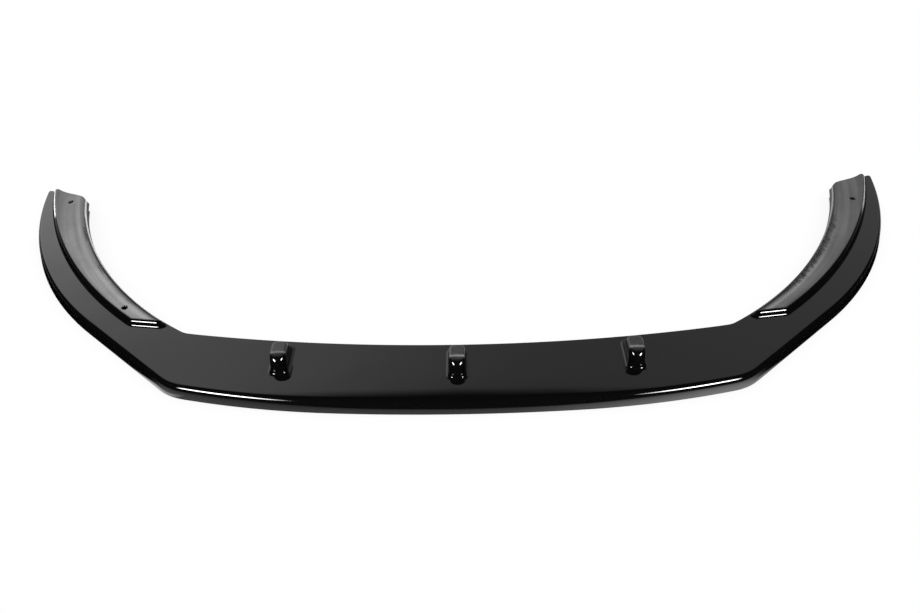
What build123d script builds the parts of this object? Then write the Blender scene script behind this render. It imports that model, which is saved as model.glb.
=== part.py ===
# Front splitter lip: one sheet of black plastic, drawn over a plug and trimmed to shape.
# Millimetres, +X to the right seen from the front, +Y towards the car, +Z up.
# The origin lies on the floor under the middle of the lip's overall box.
import os
from math import asin, atan2, cos, degrees, radians, sin, tan

from build123d import *

# Overall size and sheet
overall_width = 1796.0          # tip to tip
overall_depth = 641.0           # foremost point of the front edge to the tips
sheet = 4.0                     # thickness of the formed sheet

# Blade and the skirt that turns down round its outer edge
blade_rise = 22.0               # floor to the top of the blade
skirt_draft = 12.0              # degrees off upright
edge_roll = 9.0                 # radius between the blade and the skirt

# Plan of the outer edge, half of it, from the middle outwards
middle_radius = 3400.0          # the nearly straight middle of the front edge
middle_half = 200.0             # half the width of that middle
shoulder_radius = 1500.0        # the front edge from there to the kink
kink_half = 466.0               # half the distance between the two kinks
kink_round = 100.0              # radius that softens a kink
flank_angle = 39.7              # degrees the straight flank sweeps back
flank_length = 240.0            # kink to the start of the wing's curve

# Plan of the trimmed edge that faces the car
blade_depth = 133.0             # front edge to rear edge, in the middle
bay_half = 468.0                # half the distance between the bay's front corners
bay_bow = 39.0                  # how far those corners lie behind the middle
bay_round = 40.0                # radius that softens those corners
wing_end = 126.5                # length of the cut across a wing's end
wing_end_angle = 27.0           # degrees that cut slants off square
wing_bow = 48.0                 # how far the wing's trimmed edge bows out

# Raised pads on the wings, which seat under the bumper
pad_rise = 12.0                 # pad above the blade
pad_draft = 25.0                # degrees off upright, step and front wall
pad_setback = 193.0             # foremost point of the lip to the foot of a pad's front wall
pad_skew = 4.0                  # degrees the front wall leans off square
pad_bow = 40.0                  # how far the step bows out between its ends
pad_corner = 10.0               # plan radius where the step meets the front wall
pad_nose = 11.0                 # plan radius where the front wall turns along the trimmed edge
pad_crest = 5.0                 # radius along the top of step and front wall
ledge_front = 44.6              # ledge outside the step, at the pad's front
ledge_end = 22.5                # the same along the cut at the wing's end
pad_roll = 11.0                 # radius that rolls the pad down to its trimmed edge

# Towers on the blade that space it from the bumper
tower_spacing = 289.0           # middle tower to an outer one
tower_rise = 32.0               # tower above the blade
tower_foot_width = 30.0
tower_foot_length = 66.0
tower_top_width = 22.0
tower_top_length = 30.0
tower_corner = 8.0              # radius of the four upright corners
tower_crest = 5.0               # radius round the top
tower_margin = 11.0             # foot to the blade's rear edge

# Radius along the foot of every pad and tower
foot_round = 3.0

# Inside a bend, the underside of the sheet stays sharp up to this radius
sharp_bend = 1.0

# Screw holes in the pads, each placed along the foot of the step and inwards from it
hole_diameter = 9.0
left_rear_along = 78.0          # forwards from the wing's end
left_rear_inside = 38.0
left_front_along = 505.0
left_front_inside = 19.5
right_rear_along = 119.0
right_rear_inside = 27.0

# How far cutters run past what they cut
overrun = 30.0


def polar(angle, length):
    """A step of the given length at an angle in degrees from +X."""
    return Vector(length * cos(radians(angle)), length * sin(radians(angle)))


def foot_inset(draft, inset):
    """How far a drafted wall's foot moves in when its skin and the floor under it drop by inset."""
    return inset * (1 - sin(radians(draft))) / cos(radians(draft))


def round_rim(plug, rim, radius, inset):
    """Round a plug's rim by its radius on the finished skin, less inset."""
    inside = radius - inset
    return fillet(rim, inside) if inside > sharp_bend else plug


# Outer edge, right half
middle_turn = degrees(asin(middle_half / middle_radius))
middle_arc = CenterArc((0, middle_radius), middle_radius, -90, middle_turn)
kink_turn = degrees(asin(sin(radians(middle_turn)) + (kink_half - middle_half) / shoulder_radius))
shoulder_arc = JernArc(middle_arc @ 1, middle_arc % 1, shoulder_radius, kink_turn - middle_turn)
kink = shoulder_arc @ 1
flank = PolarLine(kink, flank_length, flank_angle)
wing_tip = Vector(overall_width / 2, overall_depth)
wing_arc = TangentArc(flank @ 1, wing_tip, tangent=flank % 1)
wing_lead = Line(wing_tip, wing_tip + (wing_arc % 1) * overrun)

# Trimmed edge, right half, and the cut across the wing's end
bay_corner = Vector(bay_half, blade_depth + bay_bow)
end_cut = polar(180 + wing_end_angle, 1)
wing_heel = wing_tip + end_cut * wing_end
wing_trim = SagittaArc(bay_corner, wing_heel, -wing_bow)
rear_arc = ThreePointArc(Vector(-bay_half, bay_corner.Y), Vector(0, blade_depth), bay_corner)

# Foot of the right pad's step, from its front corner back to the wing's end
flank_in = kink + polar(flank_angle + 90, ledge_front)
pad_corner_foot = flank_in + polar(flank_angle, (pad_setback - flank_in.Y) / sin(radians(flank_angle)))
pad_step = SagittaArc(pad_corner_foot, wing_tip + end_cut * ledge_end, -pad_bow)


def both_sides(half, *across):
    """A plan face from the edges of its right half, their mirror images and what crosses over."""
    right = Curve() + half
    left = mirror(right, about=Plane.YZ)
    return make_face([*right.edges(), *left.edges(), *across])


def soften(plan, corner, radius):
    """Round the plan's corner on the right, and its mirror image on the left."""
    spots = [corner, Vector(-corner.X, corner.Y)]
    return fillet([plan.vertices().sort_by_distance(spot)[0] for spot in spots], radius)


def blade_face(inset):
    """The plan inside the outer edge, closed straight across behind the tips."""
    lead = wing_lead @ 1
    close = Line(lead, Vector(-lead.X, lead.Y))
    plan = both_sides([middle_arc, shoulder_arc, flank, wing_arc, wing_lead], close)
    plan = soften(plan, kink, kink_round)
    return offset(plan, amount=-inset) if inset else plan


def blade_plug(inset):
    """Blade and skirt as a solid plug whose skin lies inset under the finished one."""
    plug = extrude(blade_face(inset / cos(radians(skirt_draft))), blade_rise - inset, taper=skirt_draft)
    top = plug.faces().sort_by(Axis.Z)[-1]
    rim = top.edges().sort_by(Axis.Y)[:-1]
    return round_rim(plug, rim, edge_roll, inset)


def pad_face(inset):
    """Foot of the right pad, which reaches a little into the bay and past the wing's end."""
    step_lead = Line(pad_step @ 1, pad_step @ 1 + (wing_arc % 1) * overrun)
    front = PolarLine(pad_step @ 0, (pad_step @ 0).X - bay_half + overrun, 180 + pad_skew)
    heel_lead = wing_heel + end_cut * overrun
    back = Line(step_lead @ 1, heel_lead)
    side = Line(heel_lead, front @ 1)
    reach = pad_rise * tan(radians(pad_draft))
    plan = make_face([pad_step, step_lead, back, side, front])
    plan -= Pos(wing_trim.arc_center) * Circle(wing_trim.radius - reach)
    plan = fillet(plan.vertices().sort_by(Axis.Y)[1:], pad_corner)
    plan = fillet(plan.vertices().sort_by(Axis.Y)[0], pad_nose)
    return offset(plan, amount=-inset) if inset else plan


def pad_plug(inset):
    """The right pad as a solid plug that stands on the blade's plug."""
    foot = Pos(0, 0, blade_rise - inset) * pad_face(foot_inset(pad_draft, inset))
    plug = extrude(foot, pad_rise, taper=pad_draft)
    crest = plug.faces().sort_by(Axis.Z)[-1].edges()
    return round_rim(plug, crest, pad_crest, inset)


def roll_ring(inset):
    """All that lies outside the wing's trimmed edge, under the roll that brings the pad down to it."""
    roll = max(pad_roll - inset, sharp_bend)
    wall = wing_trim.radius + inset
    top = blade_rise + pad_rise - inset
    reach = wall + overall_depth
    wall_line = Line((wall, 0), (wall, top - roll))
    quarter = RadiusArc((wall, top - roll), (wall + roll, top), roll)
    rest = Polyline((wall + roll, top), (reach, top), (reach, 0), (wall, 0))
    section = Plane.XZ * make_face([wall_line, quarter, *rest.edges()])
    return Pos(wing_trim.arc_center) * revolve(section, Axis.Z)


def tower_profile(foot, top, inset):
    """A tower seen square on to one pair of its walls, which lean in from foot to top."""
    draft = degrees(atan2(foot - top, 2 * tower_rise))
    foot_half = foot / 2 - foot_inset(draft, inset)
    top_half = top / 2 - foot_inset(draft, inset)
    low = blade_rise - inset
    high = low + tower_rise
    corners = [(-foot_half, low), (foot_half, low), (top_half, high), (-top_half, high)]
    return make_face(Polyline(*corners, close=True))


def tower_plug(inset, across):
    """One tower as a solid plug, at a distance across the lip from its middle."""
    rear_edge = rear_arc.arc_center.Y - (rear_arc.radius ** 2 - across ** 2) ** 0.5
    place = Vector(across, rear_edge - tower_margin - tower_foot_length / 2)
    front_view = Plane.XZ * tower_profile(tower_foot_width, tower_top_width, inset)
    side_view = Plane.YZ * tower_profile(tower_foot_length, tower_top_length, inset)
    plug = extrude(front_view, tower_foot_length, both=True) & extrude(side_view, tower_foot_width, both=True)
    plug = round_rim(plug, plug.edges().filter_by(Plane.XY, reverse=True), tower_corner, inset)
    crest = plug.faces().sort_by(Axis.Z)[-1].edges()
    return Pos(place) * round_rim(plug, crest, tower_crest, inset)


def with_towers(plug, inset):
    """The plug with the three towers on it."""
    for across in (-tower_spacing, 0, tower_spacing):
        plug += tower_plug(inset, across)
    return plug


def with_pads(plug, pad):
    """The plug with the right pad and its mirror image on it."""
    return plug + pad + mirror(pad, about=Plane.YZ)


def skin():
    """The plug that the sheet's upper skin follows, with a round foot to every pad and tower."""
    plug = with_towers(with_pads(blade_plug(0), pad_plug(0)), 0)
    blade_top = plug.faces().filter_by(Axis.Z).sort_by(SortBy.AREA)[-2]    # only the plug's base is wider
    feet = [edge for wire in blade_top.inner_wires() for edge in wire.edges()]
    return fillet(feet, foot_round)


def hollow():
    """The space under the sheet, one sheet's thickness inside the skin and open at the floor."""
    pad = pad_plug(sheet) & roll_ring(sheet)
    return with_towers(with_pads(blade_plug(sheet), pad), sheet)


def bay_cutter():
    """What the saw takes away: the bay between the wings and all behind their slanted ends."""
    past = wing_tip - end_cut * overrun
    behind = Vector(past.X, past.Y + 2 * overrun)
    half = [wing_trim, Line(wing_heel, past), Line(past, behind)]
    plan = both_sides(half, rear_arc, Line(behind, Vector(-behind.X, behind.Y)))
    plan = soften(plan, bay_corner, bay_round)
    return extrude(Pos(0, 0, -overrun) * plan, 2 * overrun + blade_rise + pad_rise)


def roll_cutter():
    """What rounds the right pad down to its trimmed edge."""
    block = extrude(Pos(0, 0, blade_rise) * pad_face(-2 * foot_round), pad_rise + overrun)
    return block - roll_ring(0)


def screw_hole(side, along, inside):
    """A drill through the pad on one side (1 right, -1 left), placed from the foot of its step."""
    station = pad_step.length - along
    start = pad_step.position_at(station, position_mode=PositionMode.LENGTH)
    inwards = pad_step.tangent_at(station, position_mode=PositionMode.LENGTH).rotate(Axis.Z, 90)
    spot = start + inwards * inside
    return Pos(side * spot.X, spot.Y, blade_rise) * Cylinder(hole_diameter / 2, 2 * overrun)


def splitter_lip():
    """The formed sheet, trimmed, rolled down along the wings, drilled and set over its origin."""
    roll = roll_cutter()
    lip = skin() - bay_cutter() - roll - mirror(roll, about=Plane.YZ) - hollow()
    lip -= screw_hole(-1, left_rear_along, left_rear_inside)
    lip -= screw_hole(-1, left_front_along, left_front_inside)
    lip -= screw_hole(1, right_rear_along, right_rear_inside)
    return Pos(0, -overall_depth / 2, 0) * lip


os.makedirs("parts", exist_ok=True)
export_step(splitter_lip(), "parts/splitter_lip.step")
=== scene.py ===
from functools import reduce
from math import asin, atan2, cos, hypot, pi, radians, sin, tan

import bmesh
import bpy
import numpy as np
from bpy.props import FloatProperty, FloatVectorProperty, PointerProperty
from mathutils import Matrix, Vector


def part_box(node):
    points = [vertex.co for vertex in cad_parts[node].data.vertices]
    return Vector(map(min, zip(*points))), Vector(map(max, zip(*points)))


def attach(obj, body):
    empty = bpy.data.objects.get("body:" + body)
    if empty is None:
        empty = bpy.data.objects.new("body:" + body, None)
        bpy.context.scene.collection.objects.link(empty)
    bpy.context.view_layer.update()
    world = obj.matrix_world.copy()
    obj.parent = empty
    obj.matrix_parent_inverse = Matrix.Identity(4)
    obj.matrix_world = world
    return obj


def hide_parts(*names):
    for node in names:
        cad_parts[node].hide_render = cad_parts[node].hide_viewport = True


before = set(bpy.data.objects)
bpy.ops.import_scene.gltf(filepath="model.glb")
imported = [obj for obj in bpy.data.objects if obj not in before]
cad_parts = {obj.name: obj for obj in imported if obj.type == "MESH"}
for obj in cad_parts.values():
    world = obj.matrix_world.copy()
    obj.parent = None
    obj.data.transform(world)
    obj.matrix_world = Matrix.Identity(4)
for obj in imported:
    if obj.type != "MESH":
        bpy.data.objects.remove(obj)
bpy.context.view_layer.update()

bl_info = {
    "name": "Front splitter lip",
    "version": (1, 0, 0),
    "blender": (4, 5, 0),
    "location": "View3D > Sidebar > Splitter lip",
    "description": "Builds a formed black plastic splitter lip and the studio it is seen in",
    "category": "Object",
}

NODE = "splitter_lip"
LOW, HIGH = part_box(NODE)
MM = 0.001


def length(description, millimetres):
    """A length property, given in millimetres."""
    return FloatProperty(description=description, default=millimetres * MM, unit="LENGTH", precision=4)


def angle(description, value):
    """An angle property, given in degrees."""
    return FloatProperty(description=description, default=radians(value), subtype="ANGLE")


def place(description, value):
    """A plan place, given in millimetres."""
    metres = [v * MM for v in value]
    return FloatVectorProperty(description=description, size=2, default=metres, unit="LENGTH", precision=4)


def point(description, value):
    """A point property, given in metres."""
    return FloatVectorProperty(description=description, size=3, default=value, subtype="TRANSLATION")


def colour(description, value):
    """A colour property."""
    return FloatVectorProperty(description=description, default=value, size=3, min=0, max=1, subtype="COLOR")


def number(description, value):
    """A plain number."""
    return FloatProperty(description=description, default=value)


class LipSizes(bpy.types.PropertyGroup):
    """Sizes of the formed sheet."""
    width: length("Tip to tip", (HIGH.x - LOW.x) / MM)
    depth: length("Front edge to the tips", (HIGH.y - LOW.y) / MM)
    sheet: length("Thickness of the formed sheet", 4)
    blade_rise: length("Floor to the top of the blade", 22)
    front_draft: angle("Lean of the skirt along the front", 12)
    flank_draft: angle("Lean of the skirt along the flanks", 13)
    tip_draft: angle("Lean of the skirt at the tips", 12)
    edge_roll: length("Radius between ledge and skirt along the flanks", 9)
    tip_roll: length("The same at the tips", 5)
    middle_radius: length("Plan radius of the middle of the front edge", 3400)
    middle_half: length("Half the width of that middle", 200)
    shoulder_radius: length("Plan radius from there to the kink", 1500)
    kink_half: length("Half the distance between the kinks", 466)
    kink_round: length("Plan radius of a kink", 100)
    flank_angle: angle("Sweep of the straight flank", 39.7)
    flank_length: length("Kink to the wing's curve", 240)
    blade_depth: length("Front edge to rear edge, in the middle", 133)
    bay_half: length("Half the distance between the bay's front corners", 468)
    bay_bow: length("How far those corners lie behind the middle", 39)
    bay_round: length("Plan radius of those corners", 40)
    wing_end: length("Length of the cut across a wing's end", 126.5)
    wing_end_angle: angle("Slant of that cut", 27)
    wing_bow: length("Bow of the wing's trimmed edge", 48)
    pad_rise: length("Pad above the blade, at the wing's end", 13)
    pad_front_rise: length("Pad above the blade, at its front wall", 10)
    pad_dish: length("How far the pad sags between its crest and its ridge", 2.2)
    end_dish: length("How far it sags at the wing's end", 4.4)
    pad_draft: angle("Lean of the pad's step and front wall", 25)
    pad_setback: length("Front edge to the pad's front wall", 193)
    pad_skew: angle("Slant of the front wall", 7.5)
    pad_bow: length("Bow of the step", 41)
    pad_corner: length("Plan radius between step and front wall", 16)
    pad_nose: length("Plan radius between front wall and trimmed edge", 7.5)
    nose_reach: length("How far the nose's wall would reach past the trimmed edge", -2.2)
    pad_crest: length("Radius along the top of the step", 7)
    pad_foot: length("Radius along the foot of the step", 4.5)
    pad_roll: length("Radius that rolls the pad down to its trimmed edge, at the pad's front", 14)
    pad_ridge: length("Trimmed edge to the ridge where that roll starts, at the pad's front", 13)
    end_roll: length("Radius and reach of that roll at the wing's end", 3.6)
    ledge_front: length("Ledge outside the step, at the pad's front", 46.8)
    ledge_end: length("The same at the wing's end", 22.5)
    foot_round: length("Radius along the foot of the towers", 5)
    tower_spacing: length("Middle tower to an outer one", 289)
    tower_rise: length("Tower above the blade", 30)
    tower_foot_width: length("Across the foot", 27.5)
    tower_foot_length: length("Along the foot", 66)
    tower_top_width: length("Across the top", 26)
    tower_top_length: length("Along the top", 43.5)
    tower_lead: length("How far the top stands ahead of the foot's middle", 8.25)
    tower_foot_corner: length("Plan radius of a tower's corners at its foot", 10)
    tower_corner: length("The same half way up", 12.8)
    tower_lid_corner: length("The same round the level top", 6)
    tower_crest: length("Radius along the sides and rear of a tower's top", 4.5)
    tower_brow: length("Radius over the front of a tower's top", 21.4)
    tower_margin: length("Tower's foot to the rear edge", 11)
    hole: length("Diameter of the screw holes", 9)
    hole_rim: length("Radius that softens a screw hole's upper rim", 1.5)
    hole_burr: length("How far a screw hole's rim stands down below the sheet", 1.8)
    left_rear_hole: place("Plan place of the hole at the left wing's end", (-815.96, 251.75))
    left_front_hole: place("Plan place of the hole at the left pad's front", (-588.94, -89.77))
    right_hole: place("Plan place of the right pad's hole", (809.96, 211.16))
    tip_round: length("Plan radius of a wing's outer corner", 6)
    end_round: length("Plan radius of the pad's corner at the wing's end", 12)
    end_reach: length("How far that corner would reach past the wing's end", 8.5)
    crown_radius: length("Radius that eases the blade down to the front roll", 200)
    crown_turn: angle("How far the blade has turned down where the front roll starts", 6)
    front_roll: length("Radius between blade and skirt in the middle of the front", 16)
    shoulder_roll: length("The same towards the kinks", 10.5)
    cut_round: length("Radius that softens the sawn edge", 0.7)


class LipFinish(bpy.types.PropertyGroup):
    """Colours and gloss of the sheet."""
    black: colour("The plastic's own colour", (0.0012, 0.0012, 0.0013))
    haze: colour("Dull bloom at its thickest", (0.178, 0.178, 0.1783))
    cut: colour("Sawn edges", (0.02, 0.02, 0.021))
    # Painted highlight: a pale colour laid where the trimmed edges and the step's crest catch the light
    painted_highlight: colour("Skin that is filed bright", (0.80, 0.80, 0.80))
    gloss: number("Roughness of the polished skin", 0.035)
    dull: number("Roughness of the pads", 0.42)


class StageLook(bpy.types.PropertyGroup):
    """Floor, studio and camera."""
    floor: colour("Colour of the floor", (0.86, 0.86, 0.86))
    lens: number("Focal length in millimetres", 29.54)
    distance: length("Camera to its target", 1368)
    elevation: angle("Camera above the horizon", 41.4)
    azimuth: angle("Camera to the right of straight ahead", 0.8466)
    roll: angle("Turn of the camera about its line of sight", -1.5397)
    target: point("Point that the camera looks at", (0.0045, -0.0665, 0.0))
    floor_reach: length("Middle of the floor to its edges", 9000)
    floor_drop: length("Floor below the foot of the lip", 0.4)
    lamp_place: point("Middle of the right lamp", (2.12, -2.01, 1.85))
    lamp_aim: point("Point that the right lamp faces", (0.44, -0.15, 0.0))
    lamp_width: length("Width of a lamp", 1900)
    lamp_height: length("Height of a lamp", 760)
    lamp_power: number("Power of a lamp in watts", 7.9)
    lamp_spread: angle("Cone that a lamp's light keeps to", 26)


def polar(turn, reach):
    """A plan step of the given reach at a turn from +X."""
    return np.array((reach * cos(turn), reach * sin(turn)))


def rows_dot(a, b):
    """Dot products of two lists of plan vectors, row by row."""
    return np.einsum("ij,ij->i", a, b)


def unit_rows(rows):
    """Plan vectors made one long."""
    return rows / np.hypot(*rows.T)[:, None]


class BentPath:
    """A plan curve that leaves the middle line heading +X and bends by stretches of constant curvature.
    Its heading is the running sum of curvature, and its points are the running sum of that heading."""

    samples = 6000

    def __init__(self, start, stretches):
        ends = np.cumsum([reach for bend, reach in stretches])
        self.run = np.linspace(0, ends[-1], self.samples)
        heading_at_ends = np.cumsum([bend * reach for bend, reach in stretches])
        self.heading = np.interp(self.run, [0, *ends], [0, *heading_at_ends])
        middle = (self.heading[1:] + self.heading[:-1]) / 2
        steps = np.diff(self.run)[:, None] * np.column_stack((np.cos(middle), np.sin(middle)))
        self.points = np.vstack((start, start + np.cumsum(steps, axis=0)))
        self.reach = ends[-1]

    def at(self, run):
        """Points at the given runs along the curve."""
        return np.column_stack([np.interp(run, self.run, self.points[:, k]) for k in (0, 1)])

    def left(self, run):
        """Unit vectors to the left of the curve at the given runs."""
        heading = np.interp(run, self.run, self.heading)
        return np.column_stack((-np.sin(heading), np.cos(heading)))


class Arc:
    """A plan arc from start to end that bows to the right of its chord."""

    def __init__(self, start, end, bow):
        chord = np.subtract(end, start)
        span = hypot(*chord)
        right = np.array((chord[1], -chord[0])) / span
        self.radius = (span * span / 4 + bow * bow) / (2 * bow)
        self.centre = (np.add(start, end)) / 2 + right * (bow - self.radius)
        self.half_turn = asin(span / 2 / self.radius)
        self.chord_heading = atan2(chord[1], chord[0])

    def inside(self, points):
        """How far points lie inside the arc's circle."""
        return self.radius - np.hypot(*(points - self.centre).T)


class LipPlan:
    """The right half of the lip in plan, in metres: outer edge, trimmed edge and the pad's step.
    y is counted from the foremost point of the front edge."""

    def __init__(self, sizes):
        s = sizes
        self.tip = np.array((s.width / 2, s.depth))
        self.end_cut = polar(pi + s.wing_end_angle, 1)
        self.outer = self.outer_edge(s)
        self.heel = self.tip + self.end_cut * s.wing_end
        corner = np.array((s.bay_half, s.blade_depth + s.bay_bow))
        self.wing_trim = Arc(corner, self.heel, s.wing_bow)
        self.rear_radius = (s.bay_half ** 2 + s.bay_bow ** 2) / (2 * s.bay_bow)
        self.trim = self.trimmed_edge(s)
        kink = self.kink(s)
        flank_in = kink + polar(s.flank_angle + pi / 2, s.ledge_front)
        self.pad_corner = flank_in + polar(s.flank_angle, (s.pad_setback - flank_in[1]) / sin(s.flank_angle))
        self.step = Arc(self.pad_corner, self.tip + self.end_cut * s.ledge_end, s.pad_bow)
        self.front_in = polar(s.pad_skew + pi / 2, 1)
        self.end_in = polar(s.wing_end_angle - pi / 2, 1)

    @staticmethod
    def turns(s):
        """Headings of the front edge where its middle ends and where the kink would be sharp."""
        middle = asin(s.middle_half / s.middle_radius)
        return middle, asin(sin(middle) + (s.kink_half - s.middle_half) / s.shoulder_radius)

    def kink(self, s):
        """The point where front edge and flank would meet."""
        middle, kink = self.turns(s)
        rise = s.middle_radius * (1 - cos(middle)) + s.shoulder_radius * (cos(middle) - cos(kink))
        return np.array((s.kink_half, rise))

    def outer_edge(self, s):
        """Middle arc, shoulder arc, soft kink, straight flank and the arc that ends at the tip."""
        middle, kink = self.turns(s)
        trim = s.kink_round * tan((s.flank_angle - kink) / 2)
        kink_start = kink - trim / s.shoulder_radius
        lead = [(1 / s.middle_radius, s.middle_radius * middle),
                (1 / s.shoulder_radius, s.shoulder_radius * (kink_start - middle)),
                (1 / s.kink_round, s.kink_round * (s.flank_angle - kink_start)),
                (0, s.flank_length - trim)]
        flank_end = BentPath((0, 0), lead).points[-1]
        ahead = polar(s.flank_angle, 1)
        left = polar(s.flank_angle + pi / 2, 1)
        across = self.tip - flank_end
        radius = across @ across / (2 * across @ left)
        turn = 2 * atan2(across @ left, across @ ahead)
        return BentPath((0, 0), [*lead, (1 / radius, radius * turn)])

    def trimmed_edge(self, s):
        """Rear arc of the blade, soft bay corner and the wing's trimmed arc up to its heel."""
        rear_turn = asin(s.bay_half / self.rear_radius)
        wing = self.wing_trim
        trim_turn = wing.chord_heading - wing.half_turn
        cut = s.bay_round * tan((trim_turn - rear_turn) / 2)
        start = rear_turn - cut / self.rear_radius
        end = trim_turn + cut / wing.radius
        last = wing.chord_heading + wing.half_turn
        return BentPath((0, s.blade_depth), [(1 / self.rear_radius, self.rear_radius * start),
                                            (1 / s.bay_round, s.bay_round * (end - start)),
                                            (1 / wing.radius, wing.radius * (last - end))])


def spread(*stretches):
    """Values along stretches given as (start, end, count), without repeats, and the last end."""
    runs = [np.linspace(start, end, count, endpoint=False) for start, end, count in stretches]
    return np.concatenate((*runs, [stretches[-1][1]]))


def rounded_min(first, second, radius, agree):
    """The lesser of two distances inside two walls, with their corner rounded.
    agree is the dot product of the walls' inward normals. Inside the corner's wedge the distance is the
    radius less the reach from the round's middle, which lies one radius inside both walls."""
    short_first, short_second = radius - first, radius - second
    share = 1 - agree ** 2
    pull_first = (short_first - agree * short_second) / share
    pull_second = (short_second - agree * short_first) / share
    reach = np.sqrt(np.maximum(pull_first * short_first + pull_second * short_second, 0))
    return np.where((pull_first > 0) & (pull_second > 0), radius - reach, np.minimum(first, second))


def wall_height(inside, rise, draft, foot, crest):
    """Height of a drafted wall at a distance inside its foot: a hollow foot, a slope and a round crest."""
    half = tan((pi / 2 - draft) / 2)
    top = rise * tan(draft)
    foot_start = -foot * half
    foot_end = foot_start + foot * cos(draft)
    crest_end = top + crest * half
    crest_start = crest_end - crest * cos(draft)
    hollow = foot - np.sqrt(np.maximum(foot ** 2 - np.maximum(inside - foot_start, 0) ** 2, 0))
    dome = rise - crest + np.sqrt(np.maximum(crest ** 2 - np.minimum(inside - crest_end, 0) ** 2, 0))
    slope = inside / tan(draft)
    return np.where(inside < foot_end, hollow, np.where(inside < crest_start, slope, dome))


def ramp(value, low, high):
    """A smooth rise from 0 at low to 1 at high."""
    share = np.clip((value - low) / (high - low), 0, 1)
    return share * share * (3 - 2 * share)


def band(value, up, down):
    """A smooth rise over one range and a smooth fall over a later one."""
    return ramp(value, *up) * (1 - ramp(value, *down))


def bell(value, middle, width):
    """The bell exp(-((value - middle) / width)^2)."""
    return np.exp(-((value - middle) / width) ** 2)


def roll_drop(inside, radius):
    """How far a quarter-round roll has dropped at a distance inside the edge that it rolls down to."""
    return radius - np.sqrt(np.maximum(radius ** 2 - np.maximum(radius - inside, 0) ** 2, 0))


class LipForm:
    """The formed sheet as heights over the plan: a level blade, with pads that step up and roll down."""

    crest_share = 0.6
    front_dish = 0.4
    dish_lean = 0.75
    end_power = 8
    end_scale = 27 / 4
    least_roll = 0.3 * MM

    def __init__(self, sizes, plan):
        self.s, self.plan = sizes, plan

    def on_plan(self, points):
        """Places on the right half's plan of points on either half."""
        return np.column_stack((np.abs(points[:, 0]), points[:, 1] + self.s.depth / 2))

    def pad_distances(self, points):
        """Distances inside the pad's foot and inside the wing's trimmed edge."""
        s, plan = self.s, self.plan
        step, trim = plan.step.inside(points), -plan.wing_trim.inside(points)
        step_in = unit_rows(plan.step.centre - points)
        trim_in = unit_rows(points - plan.wing_trim.centre)
        behind = (points - plan.pad_corner) @ plan.front_in
        before_end = (points - plan.tip) @ plan.end_in
        reach = s.nose_reach + s.pad_roll / 2 * self.along(points)
        foot = rounded_min(step, behind, s.pad_corner, step_in @ plan.front_in)
        foot = rounded_min(foot, trim + reach, s.pad_nose, trim_in @ plan.front_in)
        return rounded_min(foot, before_end + s.end_reach, s.end_round, step_in @ plan.end_in), trim

    def along(self, points):
        """How far points lie from the pad's front wall, 0, to the wing's end, 1: share (2 - share)."""
        behind = (points - self.plan.pad_corner) @ self.plan.front_in
        share = np.clip(behind / (self.s.depth - self.s.pad_setback), 0, 1)
        return share * (2 - share)

    def dish(self, points, foot, trim, along):
        """Sag of the pad between crest and ridge. Over most of the pad it is the parabola 4 u (1 - u) of a
        share u that leans to the crest, and shallower towards the front wall. At the wing's end it is
        27/4 v (1 - v)^2, with v the share of the way from the step's crest to the ridge."""
        s = self.s
        crest = s.pad_rise * tan(s.pad_draft) + s.pad_crest * self.crest_share
        to_ridge = np.maximum(trim - s.pad_ridge, 0)

        def share(inside):
            past = np.maximum(inside - crest, 0)
            return past / np.maximum(past + to_ridge, MM)

        u = share(foot) ** self.dish_lean
        v = share(self.plan.step.inside(points))
        middle = s.pad_dish * (self.front_dish + (1 - self.front_dish) * along) * 4 * u * (1 - u)
        at_end = s.end_dish * self.end_scale * v * (1 - v) ** 2
        near_end = along ** self.end_power
        return middle * (1 - near_end) + at_end * near_end

    def roll_down(self, trim, along, inset):
        """How far the roll has dropped at a distance from the trimmed edge, one sheet further in underneath.
        The roll tightens from the pad's front to the wing's end."""
        s = self.s
        radius = np.maximum(s.pad_roll + (s.end_roll - s.pad_roll) * along - inset, self.least_roll)
        ridge = s.pad_ridge + (s.end_roll - s.pad_ridge) * along
        over = np.clip(ridge - trim, 0, radius)
        return radius - np.sqrt(radius ** 2 - over ** 2)

    def height(self, points, inset):
        """Height of the skin, or of the underside that lies one sheet's thickness inside it.
        The pad's top eases up from its front wall towards the wing's end."""
        s = self.s
        foot, trim = self.pad_distances(points)
        along = self.along(points)
        rise = s.pad_front_rise + (s.pad_rise - s.pad_front_rise) * along
        wall_inset = inset * (1 - sin(s.pad_draft)) / cos(s.pad_draft)
        wall = wall_height(foot - wall_inset, rise, s.pad_draft, s.pad_foot + inset / 2, s.pad_crest - inset)
        roof = np.minimum(wall - self.dish(points, foot, trim, along),
                          np.maximum(rise - self.roll_down(trim, along, inset), 0))
        if inset:
            roof = np.where(trim < inset, 0, roof)
        return s.blade_rise - inset + roof


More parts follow.
